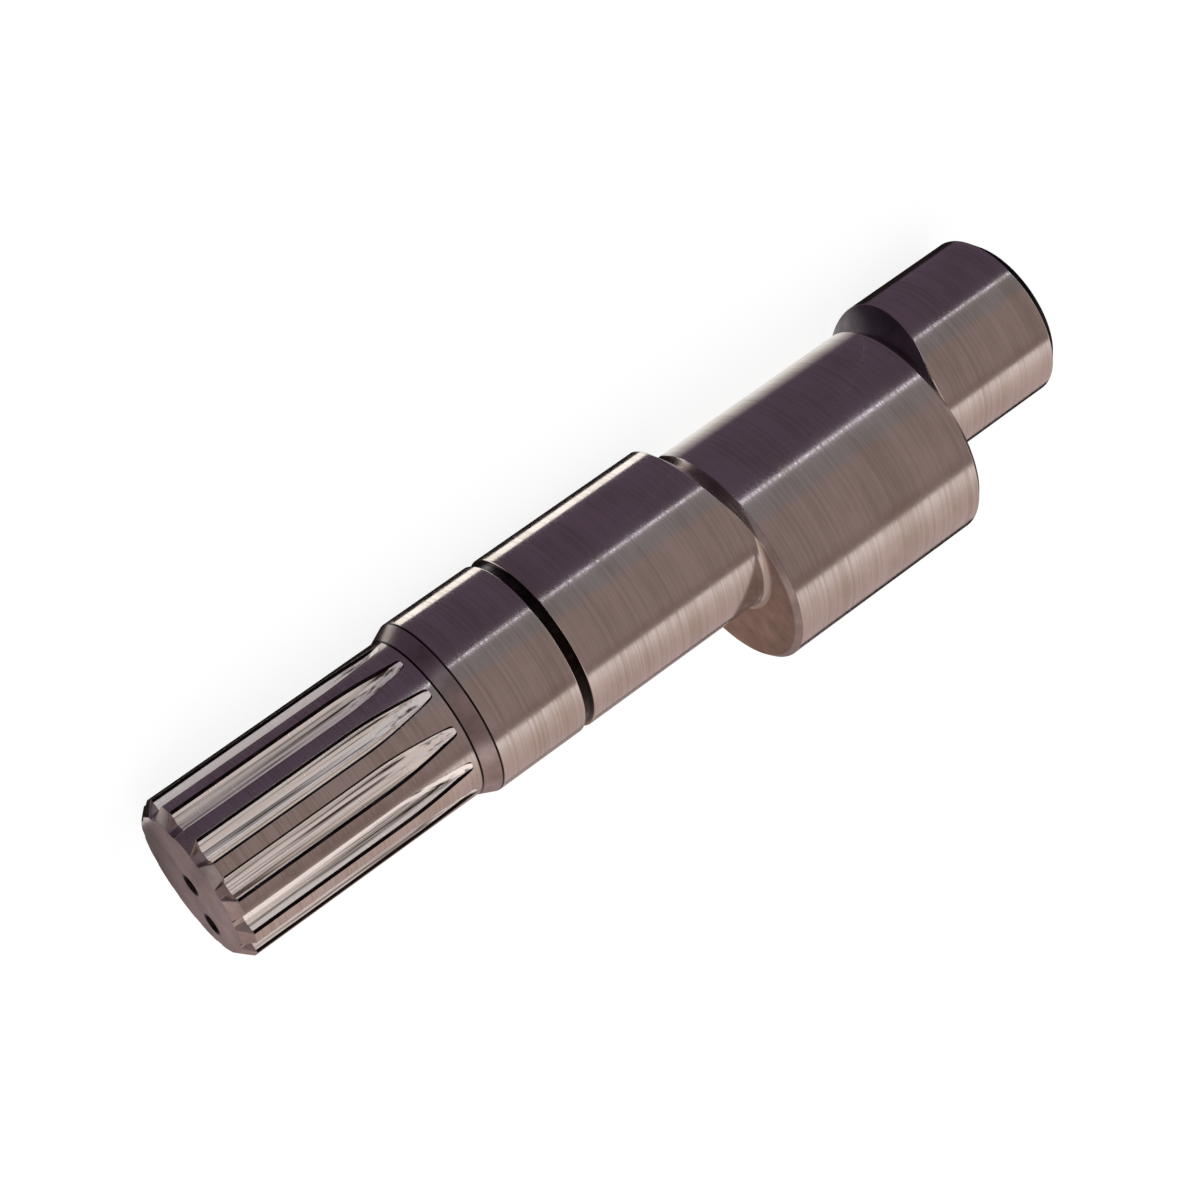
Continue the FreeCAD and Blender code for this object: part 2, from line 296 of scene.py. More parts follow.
@dataclass
class SplinedEnd:
    """Involute spline with its chamfer and the hob's run-outs, up to the foot of the shoulder."""

    sizes: ShaftSizes
    columns: Columns
    floor_points: int = 12
    round_points: int = 24
    flank_points: int = 90
    past_outside: float = 1.0
    straight_from: float = 4.0
    straight_rings: int = 8
    run_out_rings: int = 26

    def section(self) -> tuple[Array, Array, Array]:
        """Half of one space's cross-section.

        The floor is flat at the root radius. A round of radius c joins it to the flank, an
        arc of radius rp·sin(p) whose centre lies rp·cos(p) from the axis at the angle
        90°/teeth + p from the space's middle, where rp is the pitch radius and p the
        pressure angle.

        Returns:
            Way along the section, distance from the middle line, and height above the axis.
        """
        sizes = self.sizes
        pressure = math.radians(sizes.pressure_deg)
        lean = sizes.pitch / 4 + pressure
        base = sizes.pitch_dia / 2 * math.cos(pressure)
        flank = sizes.pitch_dia / 2 * math.sin(pressure)
        middle = np.array((base * math.sin(lean), base * math.cos(lean)))
        floor = sizes.root_dia / 2
        reach = flank + sizes.root_round
        corner_y = floor + sizes.root_round
        corner = np.array((middle[0] - math.sqrt(reach ** 2 - (corner_y - middle[1]) ** 2), corner_y))
        inward = corner - middle
        turn = np.linspace(-math.pi / 2, math.atan2(-inward[1], -inward[0]), self.round_points)[1:]
        top = math.asin((sizes.spline_dia / 2 + self.past_outside - middle[1]) / flank)
        sweep = np.linspace(math.atan2(inward[1], inward[0]), math.pi - top, self.flank_points)[1:]
        across = np.concatenate((np.linspace(0, corner[0], self.floor_points),
                                 corner[0] + sizes.root_round * np.cos(turn),
                                 middle[0] + flank * np.cos(sweep)))
        height = np.concatenate((np.full(self.floor_points, floor),
                                 corner[1] + sizes.root_round * np.sin(turn),
                                 middle[1] + flank * np.sin(sweep)))
        way = np.concatenate(((0.0,), np.cumsum(np.hypot(np.diff(across), np.diff(height)))))
        return way, across, height

    @property
    def tip(self) -> float:
        """Station at which the floor's corners reach the outside."""
        sizes = self.sizes
        _, across, height = self.section()
        flat = across[self.floor_points - 1]
        rise = math.sqrt((sizes.spline_dia / 2) ** 2 - flat ** 2) - height[0]
        return sizes.full_depth + math.sqrt(sizes.hob_radius ** 2 - (sizes.hob_radius - rise) ** 2)

    def ring(self, station: float, outside: float, land: Finish, cut: bool = True) -> Ring:
        """Cross-section of the spline.

        Past full depth the section is lifted on the hob's path: a height h becomes
        c − √((c − h)² − d²), with c the height of the hob's centre and d the way past.

        Args:
            station: Place along the shaft.
            outside: Radius of the blank there.
            land: Finish of the teeth's tops.
            cut: Whether the spaces are cut into the blank there.

        Returns:
            The ring.
        """
        sizes, columns = self.sizes, self.columns
        way, across, height = self.section()
        centre = sizes.root_dia / 2 + sizes.hob_radius
        past = max(0.0, min(station, self.tip) - sizes.full_depth)
        height = centre - np.sqrt((centre - height) ** 2 - past ** 2)
        lip = float(np.interp(outside, np.hypot(across, height), way))
        line = min(columns.lip_line, columns.lip_share * lip)
        edge = min(sizes.edge_break, columns.edge_share * lip)
        picks = np.append(np.array(columns.grading) * (lip - line), (lip - line, lip - edge))
        side, rise = np.interp(picks, way, across), np.interp(picks, way, height)
        offset, radius = np.arctan2(side, rise), np.hypot(side, rise)
        brink = math.atan2(np.interp(lip, way, across), np.interp(lip, way, height))
        step = edge / outside
        first, last = brink + step, sizes.pitch - brink - step
        tops = np.linspace(first + step, last - step, columns.land_columns - 2)
        angle = np.concatenate((-offset[:0:-1], offset, (first,), tops, (last,)))
        angle = angle + math.radians(sizes.phase_deg)
        one_radius = np.concatenate((radius[:0:-1], radius, np.full(columns.land_columns, outside)))
        one_radius = one_radius if cut else np.full(columns.per_pitch, outside)
        angle, one_radius = columns.spread(angle, sizes.pitch), columns.spread(one_radius)
        return Ring(np.full(len(angle), station), one_radius, angle, self.finishes(land, cut))

    def finishes(self, land: Finish, cut: bool) -> Array:
        """Finish of each column's face: hobbed space, lips painted near black as shade, and the land.

        Where the spaces cross the chamfer, the photograph shows them as dull as the chamfer,
        so they take its finish there.
        """
        columns = self.columns
        one = np.full(columns.per_pitch, land.value)
        if cut and land is Finish.GROUND:
            one[:2 * columns.half_space] = Finish.HOBBED.value
            # Painted shade: the columns at both lips of each space are coloured near black
            one[[0, 2 * columns.half_space - 1, 2 * columns.half_space, -1]] = Finish.OILED.value
        return np.tile(one, self.sizes.teeth)

    def rings(self) -> list[Ring]:
        """Rings from the end face's rim to the hob's tips."""
        sizes = self.sizes
        outside, edge, bevel = sizes.spline_dia / 2, sizes.edge_break, sizes.spline_chamfer
        rim = outside - bevel
        slant = edge * math.sqrt(0.5)
        first = self.ring(0.0, rim - edge, Finish.TURNED)
        # Ring just inside the end face's rim, in its plane, so that the face keeps its own direction
        turned = np.full_like(first.finish, Finish.TURNED.value)
        rings = [Ring(first.station, first.radius - 2 * edge, first.angle, turned), first]
        rings += [self.ring(way, rim + way, Finish.TURNED)
                  for way in (slant, 2 * slant, bevel / 2, bevel - 2 * slant, bevel - slant)]
        run_out = self.tip - sizes.full_depth
        ways = [bevel + edge, bevel + 2 * edge]
        ways += list(np.linspace(self.straight_from, sizes.full_depth, self.straight_rings))
        ways += [sizes.full_depth + run_out * math.sin(turn)
                 for turn in np.linspace(0, math.pi / 2, self.run_out_rings)[1:]]
        rings += [self.ring(way, outside, Finish.GROUND) for way in ways]
        rings.append(self.ring(self.tip + edge, outside, Finish.GROUND, cut=False))
        return rings


@dataclass
class TurnedLength:
    """Length of the shaft turned or ground about the main axis, given as a path of corners."""

    columns: Columns
    edge: float

    def broken(self, path: list[Corner]) -> list[Corner]:
        """Replace each sharp corner with two points before and two after, for a fine edge."""
        out = [path[0]]
        for before, here, after in zip(path, path[1:], path[2:]):
            if not here.sharp:
                out.append(here)
                continue
            for other, finish, ways in ((before, before.finish, (2, 1)), (after, here.finish, (1, 2))):
                run, climb = other.station - here.station, other.radius - here.radius
                for way in ways:
                    share = way * self.edge / math.hypot(run, climb)
                    out.append(Corner(here.station + run * share, here.radius + climb * share, finish))
        return [*out, path[-1]]

    def rings(self, path: list[Corner], start: Array | None = None,
              glide: Pair = (0.0, 1.0)) -> list[Ring]:
        """Rings of a path, whose columns may glide from given angles to even ones.

        Args:
            path: The path's points, along the shaft.
            start: Angles of the columns before the glide, even ones if none are given.
            glide: Stations at which the glide begins and ends.

        Returns:
            The rings.
        """
        even = self.columns.even()
        start = even if start is None else start
        rings = []
        for station, radius, finish, _ in self.broken(path):
            share = min(1.0, max(0.0, (station - glide[0]) / (glide[1] - glide[0])))
            rings.append(self.columns.plain(station, radius, finish, start + (even - start) * share))
        return rings


@dataclass
class Journal:
    """Shoulder, journal and ring groove between the splined end and the eccentric."""

    sizes: ShaftSizes
    ramp_line: float = 0.18
    corner_points: int = 6
    before_corner: float = 0.12
    past_shoulder: float = 1.0
    bare_rings: int = 8
    before_groove: float = 1.2
    past_groove: float = 1.5
    before_lobe: float = 12.0

    def corner(self) -> list[Corner]:
        """Round in the shoulder's corner, from the splined end's outside to the ramp."""
        sizes = self.sizes
        rise = (sizes.journal_dia - sizes.spline_dia) / 2
        slope = math.atan2(rise, sizes.shoulder_end - sizes.shoulder_foot)
        touch = sizes.shoulder_foot - sizes.shoulder_round * math.tan(slope / 2)
        low = sizes.spline_dia / 2
        points = [(touch + sizes.shoulder_round * math.sin(turn),
                   low + sizes.shoulder_round * (1 - math.cos(turn)))
                  for turn in np.linspace(0, slope, self.corner_points)]
        # Painted shade: the upper part of the shoulder's concave corner round is coloured near black
        finishes = (Finish.GROUND, Finish.GROUND, Finish.OILED, Finish.OILED, Finish.OILED, Finish.TURNED)
        return [Corner(*point, finish, sharp=False) for point, finish in zip(points, finishes)]

    def path(self) -> list[Corner]:
        """Path from the hob's tips to the journal before the eccentric."""
        sizes = self.sizes
        radius, half, low = sizes.journal_dia / 2, sizes.ring_width / 2, sizes.spline_dia / 2
        floor, lip = radius - sizes.ring_depth, radius - sizes.ring_break
        left, right = sizes.ring_station - half, sizes.ring_station + half
        corner = self.corner()
        drop = self.ramp_line * (radius - low) / (sizes.shoulder_end - sizes.shoulder_foot)
        bare = [Corner(way, radius, sharp=False) for way in np.linspace(
            sizes.shoulder_end + self.past_shoulder, left - self.before_groove, self.bare_rings)]
        return [
            Corner(corner[0].station - self.before_corner, low, sharp=False),
            *corner,
            # Painted shade: a thin near-black line along the ramp's top edge, below the journal
            Corner(sizes.shoulder_end - self.ramp_line, radius - drop, Finish.OILED, sharp=False),
            Corner(sizes.shoulder_end, radius),
            *bare,
            Corner(left - sizes.ring_break, radius),
            # Painted shade: the groove's first wall and its floor are coloured near black
            Corner(left, lip, Finish.OILED),
            Corner(left, floor, Finish.OILED),
            Corner(right, floor, Finish.TURNED),
            Corner(right, lip),
            Corner(right + sizes.ring_break, radius),
            Corner(right + self.past_groove, radius, sharp=False),
            Corner(sizes.lobe_start - self.before_lobe, radius, sharp=False),
        ]


@dataclass
class Eccentric:
    """Eccentric ground about its own axis, with the relief cones that clear the wheel."""

    sizes: ShaftSizes
    columns: Columns
    clear_of_cone: float = 5.2
    bare_from: float = 3.0
    bare_rings: int = 6
    way_in: tuple[float, ...] = (0.12, 0.25, 0.4, 0.54, 0.66, 0.77, 0.86, 0.93, 0.98)

    def about(self, radius: float | Array, angle: Array) -> Array:
        """Distance from the main axis to a circle about the eccentric's axis.

        With e the throw, it is e·cos(a) + √(radius² − e²·sin²(a)) in the direction a.
        """
        throw = self.sizes.throw
        return throw * np.cos(angle) + np.sqrt(radius ** 2 - (throw * np.sin(angle)) ** 2)

    def side(self, neighbour: float, relief: Finish) -> list[tuple[Array, Array, Array]]:
        """Surface from a journal to the eccentric.

        At the way s outwards from the chamfer's foot the journal has the radius q, rising on
        its foot round of radius f to q + f at the face. About the eccentric's own axis the
        chamfer has the radius R − s up to the face, and the relief cone goes on from there
        as R − c + (s − c)·tan(relief), with c the chamfer. The surface is
        min(max(journal, face), cone).

        Args:
            neighbour: Radius of the journal.
            relief: Finish of the relief cone and the face.

        Returns:
            Way outwards, radius and finish of each ring, from the journal to the eccentric.
        """
        sizes, angle = self.sizes, self.columns.even()
        lobe, bevel = sizes.lobe_dia / 2, sizes.lobe_chamfer
        foot, edge = sizes.foot_round, sizes.edge_break
        slope = math.tan(math.radians(sizes.relief_deg))
        whole = np.ones(len(angle))
        begin = bevel + foot

        def journal(way: Array) -> Array:
            """Radius of the journal and its foot round."""
            inside = np.clip(begin - way, 0.0, foot)
            return neighbour + foot - np.sqrt(foot ** 2 - inside ** 2)

        def cone(way: Array) -> Array:
            """Radius of the relief cone."""
            return self.about(lobe - bevel + (way - bevel) * slope, angle)

        need = np.sqrt(neighbour ** 2 + sizes.throw ** 2 - 2 * neighbour * sizes.throw * np.cos(angle))
        crease = np.maximum(begin, bevel + (need - lobe + bevel) / slope)
        ways = [self.clear_of_cone * whole, *(crease + step * edge for step in (2, 1, -1, -2))]
        ways += [bevel + (crease - 2 * edge - bevel) * (1 - share) for share in self.way_in]
        rings = [(way, np.minimum(journal(way), cone(way)),
                  np.where(cone(way) < journal(way), relief.value, Finish.GROUND.value)) for way in ways]
        rim = self.about(lobe - bevel, angle)
        faced, bevelled, ground = (np.full(len(angle), finish.value)
                                   for finish in (relief, Finish.TURNED, Finish.GROUND))
        rings.append((bevel * whole, np.minimum(neighbour + foot, rim), faced))
        for drop, finish in ((2 * edge, faced), (edge, bevelled)):
            inner = np.maximum(neighbour + foot, self.about(lobe - bevel - drop, angle))
            rings.append((bevel * whole, np.minimum(inner, rim), finish))
        slant = edge * math.sqrt(0.5)
        rings += [(way * whole, self.about(lobe - way, angle), bevelled)
                  for way in (bevel - slant, bevel - 2 * slant, bevel / 2, 2 * slant, slant)]
        rings += [(way * whole, self.about(lobe, angle), ground) for way in (-edge, -2 * edge)]
        return rings

    def rings(self) -> list[Ring]:
        """Rings from the journal, over the eccentric, to the end journal."""
        sizes, angle = self.sizes, self.columns.even()
        near = sizes.lobe_start + sizes.lobe_chamfer
        far = sizes.lobe_end - sizes.lobe_chamfer
        rings = [Ring(near - way, radius, angle, finish)
                 for way, radius, finish in self.side(sizes.journal_dia / 2, Finish.FACED)]
        lobe = self.about(sizes.lobe_dia / 2, angle)
        rings += [self.columns.plain(way, lobe, Finish.GROUND)
                  for way in np.linspace(near + self.bare_from, far - self.bare_from, self.bare_rings)]
        # The far side runs the other way, so each band takes the finish that its outer ring names
        back = self.side(sizes.pin_dia / 2, Finish.RELIEVED)
        outer = [np.full(len(angle), Finish.GROUND.value), *(finish for _, _, finish in back[:-1])]
        rings += [Ring(far + way, radius, angle, finish)
                  for (way, radius, _), finish in reversed(list(zip(back, outer)))]
        return rings


@dataclass
class EndJournal:
    """End journal with its chamfered end."""

    sizes: ShaftSizes
    past_lobe: float = 8.0
    inside_rim: float = 0.4

    def path(self) -> list[Corner]:
        """Path from the eccentric to the end face's rim."""
        sizes = self.sizes
        radius, bevel, length = sizes.pin_dia / 2, sizes.pin_chamfer, sizes.length
        rim = radius - bevel
        return [
            Corner(sizes.lobe_end + self.past_lobe, radius, sharp=False),
            # The end chamfer takes the near-black colour as well
            Corner(length - bevel, radius, Finish.OILED),
            Corner(length, rim, Finish.TURNED),
            Corner(length, rim - self.inside_rim, Finish.TURNED, sharp=False),
        ]


def band_faces(rows: int, around: int) -> Array:
    """Four-sided faces of a grid of closed rings, numbered ring after ring."""
    row, column = np.meshgrid(np.arange(rows - 1), np.arange(around), indexing="ij")
    beside = (column + 1) % around
    this, following = row * around, (row + 1) * around
    corners = (this + column, this + beside, following + beside, following + column)
    return np.stack(corners, axis=-1).reshape(-1, 4)


@dataclass
class CentreHole:
    """Centre hole in an end face: a cone for the lathe's centre, then a drilled hole."""

    sizes: ShaftSizes
    face: float
    inward: int
    offset: float
    around: int = 48

    def surface(self) -> tuple[Array, list[tuple[int, ...]]]:
        """Rings down the hole, closed by a point at the drill's tip.

        Returns:
            Points as station, height towards the eccentric and width, and the faces.
        """
        sizes = self.sizes
        mouth, drill, edge = sizes.centre_mouth / 2, sizes.centre_drill / 2, sizes.edge_break
        half = math.radians(sizes.centre_cone_deg / 2)
        neck = (mouth - drill) / math.tan(half)
        tip = drill / math.tan(2 * half)
        path = np.array([(0, mouth + 3 * edge), (0, mouth + edge),
                         (edge, mouth - edge), (3 * edge, mouth - 2 * edge),
                         (neck, drill), (sizes.centre_depth - tip, drill)])
        ring = np.arange(self.around)
        turn = ring * 2 * math.pi / self.around
        depth, radius = path[:, :1], path[:, 1:]
        points = np.stack((self.face + self.inward * depth + 0 * turn, self.offset + radius * np.cos(turn),
                           radius * np.sin(turn)), axis=-1).reshape(-1, 3)
        points = np.vstack((points, (self.face + self.inward * sizes.centre_depth, self.offset, 0.0)))
        last = (len(path) - 1) * self.around
        centre = np.full(self.around, len(points) - 1)
        tips = np.stack((last + ring, last + (ring + 1) % self.around, centre), axis=1)
        faces = [*band_faces(len(path), self.around).tolist(), *tips.tolist()]
        return points, [tuple(face) for face in faces]


@dataclass(frozen=True)
class Steel:
    """Steel under a finish, in a clean and a dull colour that the finish's pattern mixes.

    What isn't mirrored is scattered, as light is by a torn surface. A finish's drift is its
    pattern's scale per metre in the direction in which it changes slowly.
    """

    name: str
    clean: str
    dull: str
    roughness: float
    mirrored: float = 1.0

    def pattern(self, tree: Tree, place: Socket) -> tuple[Socket, Socket, Socket]:
        """Build the finish's pattern.

        Args:
            tree: The material's node tree.
            place: Place on the shaft, in its own coordinates.

        Returns:
            Share of the dull colour, roughness, and the surface's direction.
        """
        raise NotImplementedError

    def material(self) -> bpy.types.Material:
        """Build the material: one metal shader over the pattern."""
        material = blank_material(self.name)
        tree = material.node_tree
        place = add_node(tree, "ShaderNodeTexCoord").outputs["Object"]
        amount, gloss, normal = self.pattern(tree, place)
        shader = add_node(tree, "ShaderNodeBsdfPrincipled", links={
            "Base Color": mixed(tree, amount, self.clean, self.dull),
            "Metallic": self.mirrored, "Roughness": gloss, "Normal": normal})
        add_node(tree, "ShaderNodeOutputMaterial", links={"Surface": shader.outputs[0]})
        return material


@dataclass(frozen=True)
class GroundSteel(Steel):
    """Case-hardened steel, ground between centres: a warm grey with fine lines round the shaft.

    Grinding lines are typically some 0.02 mm apart, too fine to show in the picture, so they
    are drawn about twenty times as coarse, like the streaks that the photograph shows.
    """

    name: str = "ground_case_hardened_steel"
    clean: str = "#c6bbb2"
    dull: str = "#b3a79a"
    roughness: float = 0.13
    cloud_mm: float = 9.0
    cloud_squeeze: float = 2.2
    line_mm: float = 0.42
    line_drift: float = 14.0
    line_depth_mm: float = 0.004
    line_tint: float = 0.55

    def pattern(self, tree: Tree, place: Socket) -> tuple[Socket, Socket, Socket]:
        """Cloudy oil film, with lines that run round the shaft."""
        # Oil film: cloudy patches, a shade browner and duller than the clean steel
        film_at = mapped(tree, place, (self.cloud_squeeze, 1.0, 1.0))
        film = remap(tree, noise(tree, film_at, 1 / (self.cloud_mm * MM), 5.0, 0.6), (0.35, 0.72))
        # Grinding lines: each line keeps its station, so it runs round the shaft
        line_at = mapped(tree, place, (1 / (self.line_mm * MM), self.line_drift, self.line_drift))
        line = noise(tree, line_at, 1.0, 3.0, 0.7)
        gloss = remap(tree, line, (0.3, 0.7), (self.roughness - 0.03, self.roughness + 0.09))
        # The lines hold a little of the oil, so they tint the colour too
        tint = remap(tree, line, (0.35, 0.65), (-self.line_tint, self.line_tint))
        amount = computed(tree, "ADD", film, tint)
        return amount, gloss, bumped(tree, line, 0.5, self.line_depth_mm)


@dataclass(frozen=True)
class TurnedSteel(Steel):
    """Face or cone left as turned: a dull warm grey, with the tool's rings about its own axis.

    A finishing feed is typically some 0.1 mm, too fine to show in the picture, so the rings
    are drawn about three times as coarse.
    """

    clean: str = "#b0a19a"
    dull: str = "#8b7d78"
    roughness: float = 0.3
    axis_mm: Pair = (0.0, 0.0)
    cloud_mm: float = 5.0
    ring_mm: float = 0.32
    ring_depth_mm: float = 0.008

    def pattern(self, tree: Tree, place: Socket) -> tuple[Socket, Socket, Socket]:
        """Cloudy oil film, with rings about the axis that the face was turned on."""
        centred = add_node(tree, "ShaderNodeVectorMath", {"operation": "SUBTRACT"}, {
            0: place, 1: (0.0, self.axis_mm[0] * MM, self.axis_mm[1] * MM)})
        flat = add_node(tree, "ShaderNodeVectorMath", {"operation": "MULTIPLY"}, {
            0: centred.outputs[0], 1: (0.0, 1.0, 1.0)})
        radius = add_node(tree, "ShaderNodeVectorMath", {"operation": "LENGTH"}, {0: flat.outputs[0]})
        # Tool rings: noise along the radius only, so that each ring goes all the way round
        scaled = computed(tree, "DIVIDE", radius.outputs["Value"], self.ring_mm * MM)
        ring = add_node(tree, "ShaderNodeTexNoise", {"noise_dimensions": "1D"}, {
            "W": scaled, "Scale": 1.0, "Detail": 2.0})
        cloud = noise(tree, place, 1 / (self.cloud_mm * MM), 5.0, 0.62)
        amount = remap(tree, cloud, (0.36, 0.68))
        gloss = remap(tree, cloud, (0.3, 0.7), (self.roughness - 0.06, self.roughness + 0.08))
        return amount, gloss, bumped(tree, ring.outputs[0], 0.45, self.ring_depth_mm)


@dataclass(frozen=True)
class HobbedSteel(Steel):
    """Tooth spaces as the hob left them: bright cut metal, streaked with worn-in oil.

    The streaks run along the teeth, and the hob's feed marks across. Part of the light is
    scattered, because the torn surface faces too many ways to mirror any one of the cards.
    """

    name: str = "hobbed_case_hardened_steel"
    clean: str = "#fff6ee"
    dull: str = "#473931"
    roughness: float = 0.2
    mirrored: float = 0.62
    streak_mm: float = 0.5
    streak_drift: float = 22.0
    feed_mm: float = 1.1
    feed_drift: float = 90.0
    feed_depth_mm: float = 0.006

    def pattern(self, tree: Tree, place: Socket) -> tuple[Socket, Socket, Socket]:
        """Oil streaks along the teeth, with the hob's feed marks across."""
        # Oil streaks: noise drawn out along the teeth
        across = 1 / (self.streak_mm * MM)
        streak = noise(tree, mapped(tree, place, (self.streak_drift, across, across)), 1.0, 3.0, 0.6)
        # Feed marks: noise that changes quickly along the shaft and slowly round it
        feed_at = mapped(tree, place, (1 / (self.feed_mm * MM), self.feed_drift, self.feed_drift))
        feed = noise(tree, feed_at, 1.0, 4.0, 0.65)
        gloss = remap(tree, feed, (0.3, 0.7), (self.roughness - 0.05, self.roughness + 0.1))
        return remap(tree, streak, (0.52, 0.66)), gloss, bumped(tree, feed, 0.5, self.feed_depth_mm)


@dataclass(frozen=True)
class NearBlackSteel(Steel):
    """Painted shade in corners, grooves, lips and centre holes, and the end chamfer: nearly black, with a
    dull gloss.

    The first colour is the painted shade's darkest, and the second that of its lighter patches.
    """

    name: str = "near_black_painted_shade_steel"
    clean: str = "#1b1614"
    dull: str = "#3d3431"
    roughness: float = 0.34
    patch_mm: float = 2.5
    film_mm: float = 0.01

    def pattern(self, tree: Tree, place: Socket) -> tuple[Socket, Socket, Socket]:
        """Lighter patches at random in the near-black colour."""
        patch = noise(tree, place, 1 / (self.patch_mm * MM), 4.0)
        gloss = remap(tree, patch, (0.3, 0.7), (self.roughness - 0.08, self.roughness + 0.08))
        return remap(tree, patch, (0.5, 0.78)), gloss, bumped(tree, patch, 0.4, self.film_mm)


@dataclass
class PumpShaft:
    """The whole shaft as one closed skin, laid down as it rests."""

    sizes: ShaftSizes = field(default_factory=ShaftSizes)
    even_before_ring: float = 2.0

    def rings(self) -> list[Ring]:
        """Rings from one end face's rim to the other's."""
        sizes = self.sizes
        columns = Columns(sizes)
        turned = TurnedLength(columns, sizes.edge_break)
        spline = SplinedEnd(sizes, columns).rings()
        glide = (sizes.shoulder_foot, sizes.ring_station - self.even_before_ring)
        lengths = {
            "splined end": spline,
            "journal": turned.rings(Journal(sizes).path(), spline[-1].angle, glide),
            "eccentric": Eccentric(sizes, columns).rings(),
            "end journal": turned.rings(EndJournal(sizes).path()),
        }
        for name, rings in lengths.items():
            log.info("%s: %d rings", name, len(rings))
        return [ring for rings in lengths.values() for ring in rings]

    def holes(self) -> list[CentreHole]:
        """Two centre holes in each end face, on the main axis and on the eccentric's."""
        ends = ((0.0, 1), (self.sizes.length, -1))
        return [CentreHole(self.sizes, face, inward, offset)
                for face, inward in ends for offset in (0.0, self.sizes.throw)]

    def laid_down(self, station: Array, towards: Array, across: Array) -> Array:
        """Turn points from the eccentric's own directions to the frame's, in metres.

        The eccentric points to −Y and leans up by the angle t, so y is
        −towards·cos(t) − across·sin(t) and z is towards·sin(t) − across·cos(t).
        """
        cosine, sine = math.cos(self.sizes.lean), math.sin(self.sizes.lean)
        y, z = -towards * cosine - across * sine, towards * sine - across * cosine
        return MM * np.stack((station, y, z), axis=-1)

    def mesh(self) -> bpy.types.Mesh:
        """Weave the rings and holes into one closed mesh with a finish for each face."""
        rings = self.rings()
        around = len(rings[0].angle)
        station, radius, angle, finish = (np.stack([getattr(ring, name) for ring in rings])
                                          for name in ("station", "radius", "angle", "finish"))
        points = self.laid_down(station, radius * np.cos(angle), radius * np.sin(angle)).reshape(-1, 3)
        faces = [tuple(face) for face in band_faces(len(rings), around).tolist()]
        numbers = finish[:-1].ravel().tolist()
        for hole in self.holes():
            local, hole_faces = hole.surface()
            faces += [tuple(corner + len(points) for corner in face) for face in hole_faces]
            points = np.vstack((points, self.laid_down(local[:, 0], local[:, 1], local[:, 2])))
            # Painted shade: the centre holes are coloured near black inside
            numbers += [Finish.OILED.value] * len(hole_faces)
        mesh = bpy.data.meshes.new(NODE)
        mesh.from_pydata(points.tolist(), [], faces)
        mesh.polygons.foreach_set("material_index", numbers)
        return self.closed(mesh)

    def closed(self, mesh: bpy.types.Mesh) -> bpy.types.Mesh:
        """Join doubled points, fill both end faces round their holes and face the skin outwards."""
        skin = bmesh.new()
        skin.from_mesh(mesh)
        bmesh.ops.remove_doubles(skin, verts=skin.verts, dist=SAME_POINT)
        for face in (0.0, self.sizes.length):
            rim = [edge for edge in skin.edges if edge.is_boundary
                   and all(abs(vert.co.x - face * MM) < SAME_PLANE for vert in edge.verts)]
            filled = bmesh.ops.triangle_fill(skin, use_beauty=True, edges=rim)
            for item in filled["geom"]:
                if isinstance(item, bmesh.types.BMFace):
                    item.material_index = Finish.TURNED.value
        bmesh.ops.recalc_face_normals(skin, faces=skin.faces)
        for face in skin.faces:
            face.smooth = True
        open_edges = sum(not edge.is_manifold for edge in skin.edges)
        log.info("skin: %d faces, %d open edges", len(skin.faces), open_edges)
        skin.to_mesh(mesh)
        skin.free()
        return mesh

    def build(self) -> bpy.types.Object:
        """Make the shaft, dress it and let it stand for the CAD node."""
        shaft = bpy.data.objects.new("ground_pump_shaft", self.mesh())
        bpy.context.scene.collection.objects.link(shaft)
        throw, lean = self.sizes.throw, self.sizes.lean
        lobe_axis = (-throw * math.cos(lean), throw * math.sin(lean))
        dressing = {
            Finish.GROUND: GroundSteel(),
            Finish.TURNED: TurnedSteel("turned_steel_about_the_shaft"),
            Finish.HOBBED: HobbedSteel(),
            Finish.OILED: NearBlackSteel(),
            Finish.FACED: TurnedSteel("turned_steel_about_the_eccentric", axis_mm=lobe_axis),
            # Painted shade: the far relief cone and face, in the step down to the end journal, are
            # coloured a dark purple-grey
            Finish.RELIEVED: TurnedSteel("turned_steel_with_painted_shade", axis_mm=lobe_axis,
                                         clean="#6a5f62", dull="#463e42"),
        }
        for finish in Finish:
            shaft.data.materials.append(dressing[finish].material())
        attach(shaft, BODY)
        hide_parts(NODE)
        return shaft


@dataclass
class Camera:
    """The photograph's camera, fitted to the rims and outlines of the shaft.

    The photograph shows the shaft lying at rest, but turned in its own plane, so the camera
    looks down at the shaft and is rolled about its line of sight.
    """

    position_mm: Triple = (-72.13, 311.70, 191.26)
    forward: Triple = (0.34211, -0.80163, -0.49025)
    right: Triple = (0.76578, -0.06450, 0.63986)
    lens_mm: float = 96.18
    sensor_mm: float = 36.0

    def build(self) -> bpy.types.Object:
        """Make the camera and give it to the scene."""
        data = bpy.data.cameras.new("camera")
        data.lens = self.lens_mm
        data.sensor_width = self.sensor_mm
        data.sensor_fit = "HORIZONTAL"
        data.clip_start = MM
        camera = bpy.data.objects.new("camera", data)
        bpy.context.scene.collection.objects.link(camera)
        forward, right = Vector(self.forward).normalized(), Vector(self.right).normalized()
        up = right.cross(forward).normalized()
        turn = Matrix((right, up, -forward)).transposed().to_4x4()
        camera.matrix_world = Matrix.Translation(Vector(self.position_mm) * MM) @ turn
        bpy.context.scene.camera = camera
        return camera


